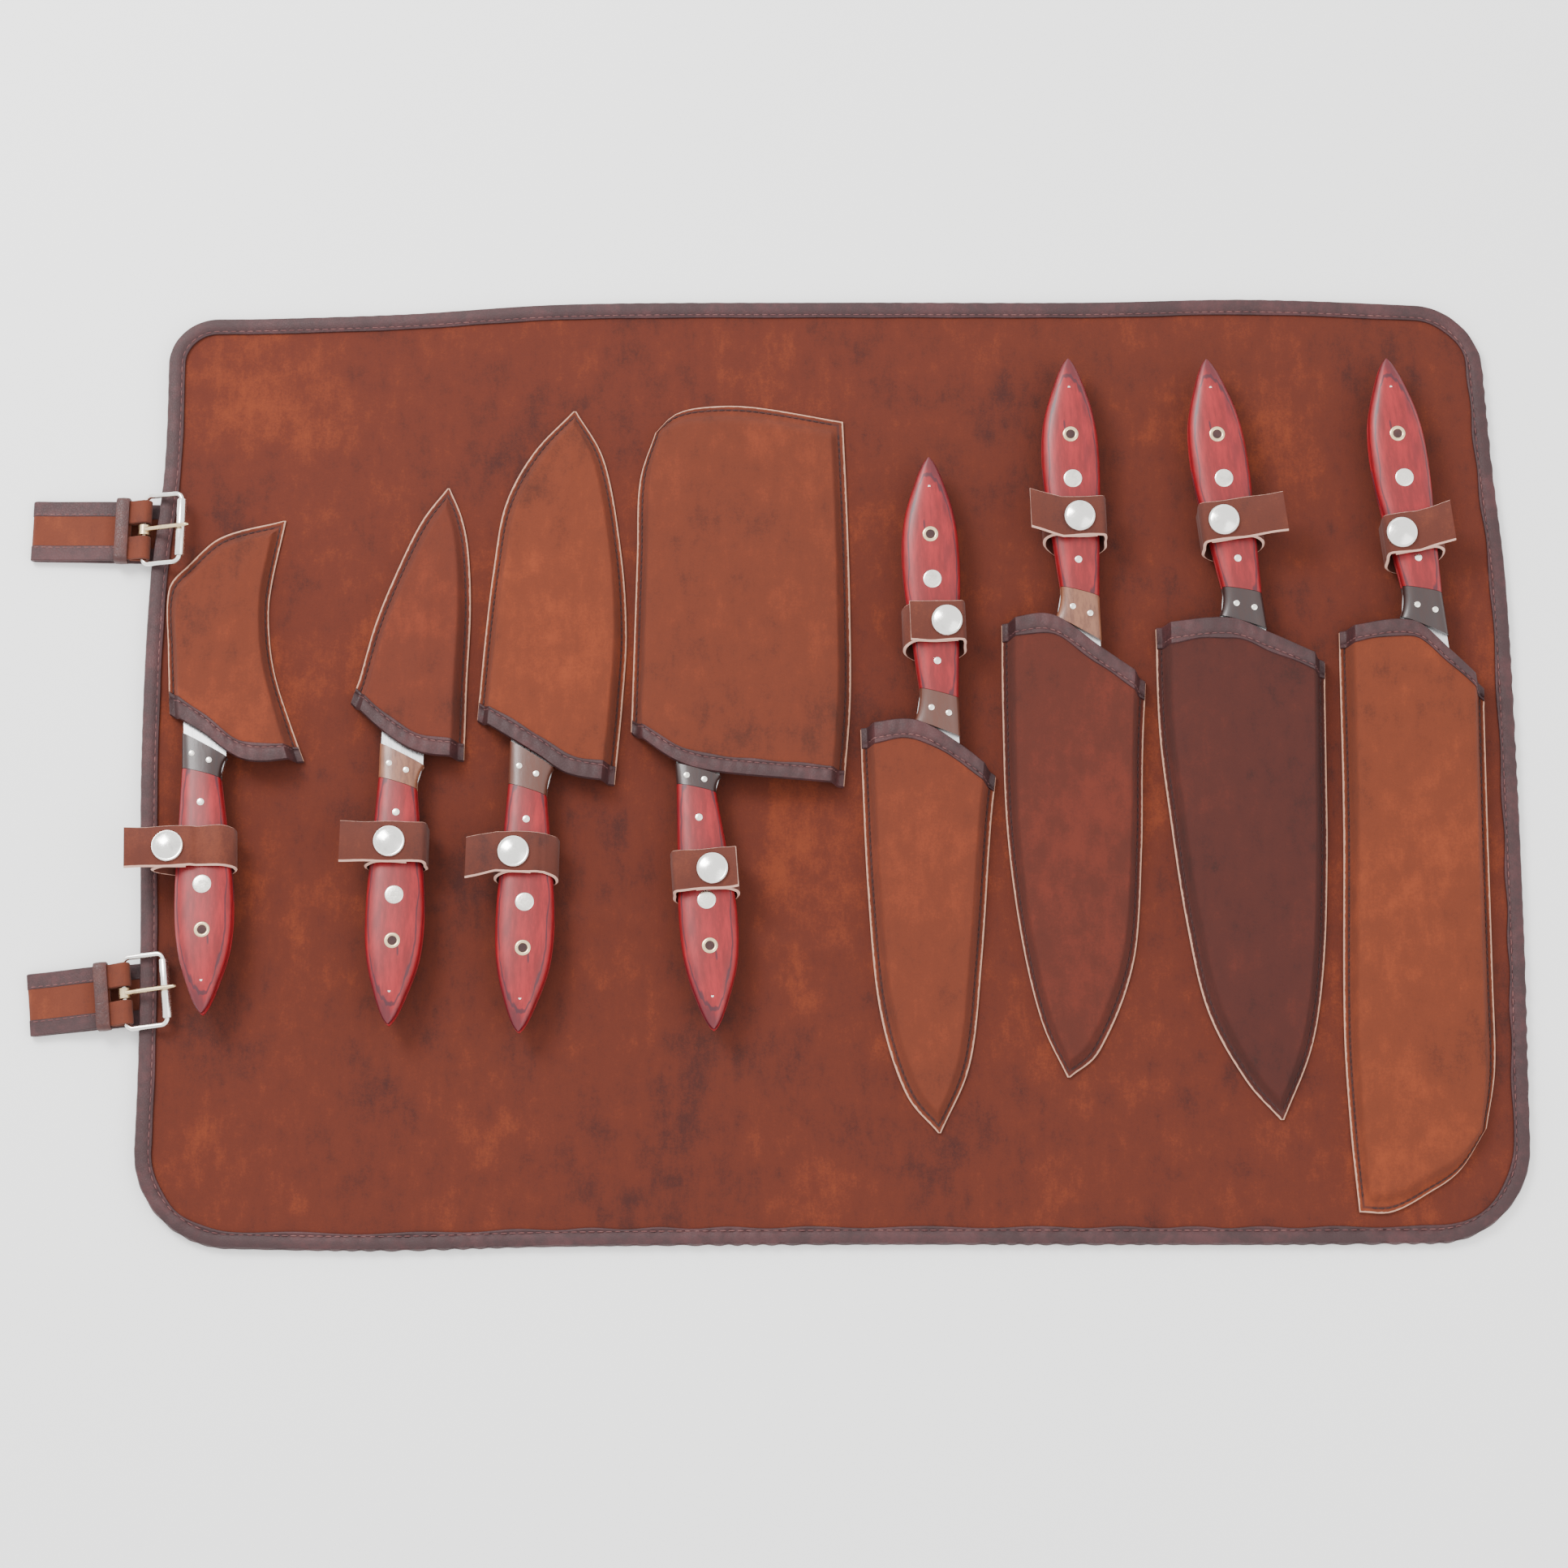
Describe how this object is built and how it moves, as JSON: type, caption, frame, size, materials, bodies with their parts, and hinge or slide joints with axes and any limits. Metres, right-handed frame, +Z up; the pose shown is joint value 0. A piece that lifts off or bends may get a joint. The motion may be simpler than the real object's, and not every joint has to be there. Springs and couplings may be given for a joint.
{
  "type": "chef knife roll with knives",
  "caption": "Suede knife roll laid open flat, with a row of tapered pockets, snap keeper straps over the knife handles, and closing straps with roller buckles.",
  "frame": {"origin": "on the table, under the middle of the whole thing with its straps", "axes": "+X along the row of pockets, away from the closing straps; +Y towards the edge that the first knives point at; +Z up out of the open roll"},
  "size_m": [0.7378, 0.48, 0.0299],
  "materials": {
    "suede": "napped suede, mottled orange brown",
    "keeper_suede": "napped suede with paler cut edges",
    "binding": "soft grain leather, plum brown, stitched",
    "blade_steel": "ground satin",
    "handle_wood": "laminated, dyed red, satin",
    "bolster_dark": "dark brown, satin",
    "bolster_brown": "brown, satin",
    "bolster_tan": "tan, satin",
    "nickel": "polished nickel plate"
  },
  "bodies": {
    "roll": {"back_panel": "suede", "edge_binding": "binding", "pocket_1": "suede", "pocket_2": "suede", "pocket_3": "suede", "pocket_4": "suede", "pocket_5": "suede", "pocket_6": "suede", "pocket_7": "suede", "pocket_8": "suede", "blade_1": "blade_steel", "blade_2": "blade_steel", "blade_3": "blade_steel", "blade_4": "blade_steel", "blade_5": "blade_steel", "blade_6": "blade_steel", "blade_7": "blade_steel", "blade_8": "blade_steel", "handle_1": "handle_wood", "handle_2": "handle_wood", "handle_3": "handle_wood", "handle_4": "handle_wood", "handle_5": "handle_wood", "handle_6": "handle_wood", "handle_7": "handle_wood", "handle_8": "handle_wood", "bolster_1": "bolster_dark", "bolster_2": "bolster_tan", "bolster_3": "bolster_brown", "bolster_4": "bolster_dark", "bolster_5": "bolster_brown", "bolster_6": "bolster_tan", "bolster_7": "bolster_dark", "bolster_8": "bolster_dark", "keeper_1": "keeper_suede", "keeper_2": "keeper_suede", "keeper_3": "keeper_suede", "keeper_4": "keeper_suede", "keeper_5": "keeper_suede", "keeper_6": "keeper_suede", "keeper_7": "keeper_suede", "keeper_8": "keeper_suede", "snap_1": "nickel", "snap_2": "nickel", "snap_3": "nickel", "snap_4": "nickel", "snap_5": "nickel", "snap_6": "nickel", "snap_7": "nickel", "snap_8": "nickel", "strap_top": "binding", "strap_bottom": "binding", "strap_loop_top": "binding", "strap_loop_bottom": "binding"},
    "frame_top": {"buckle_frame_top": "nickel"},
    "prong_top": {"buckle_prong_top": "nickel"},
    "roller_top": {"buckle_roller_top": "nickel"},
    "frame_bottom": {"buckle_frame_bottom": "nickel"},
    "prong_bottom": {"buckle_prong_bottom": "nickel"},
    "roller_bottom": {"buckle_roller_bottom": "nickel"}
  },
  "joints": [
    {"name": "buckle_frame_hinge_top", "type": "hinge", "parent": "roll", "child": "frame_top", "pos_m": [-0.31158, 0.11715, 0.00795], "axis": [-0.0175, -0.9998, 0], "range_deg": [0, 45]},
    {"name": "buckle_prong_hinge_top", "type": "hinge", "parent": "frame_top", "child": "prong_top", "pos_m": [-0.31158, 0.11715, 0.00795], "axis": [-0.0175, -0.9998, 0], "range_deg": [0, 50]},
    {"name": "buckle_roller_spin_top", "type": "hinge", "parent": "frame_top", "child": "roller_top", "pos_m": [-0.29232, 0.11681, 0.01496], "axis": [-0.0175, -0.9998, 0], "continuous": true},
    {"name": "buckle_frame_hinge_bottom", "type": "hinge", "parent": "roll", "child": "frame_bottom", "pos_m": [-0.3123, -0.11607, 0.00831], "axis": [0.1045, -0.9945, 0], "range_deg": [0, 45]},
    {"name": "buckle_prong_hinge_bottom", "type": "hinge", "parent": "frame_bottom", "child": "prong_bottom", "pos_m": [-0.3123, -0.11607, 0.00831], "axis": [0.1045, -0.9945, 0], "range_deg": [0, 50]},
    {"name": "buckle_roller_spin_bottom", "type": "hinge", "parent": "frame_bottom", "child": "roller_bottom", "pos_m": [-0.29212, -0.11395, 0.01117], "axis": [0.1045, -0.9945, 0], "continuous": true}
  ]
}
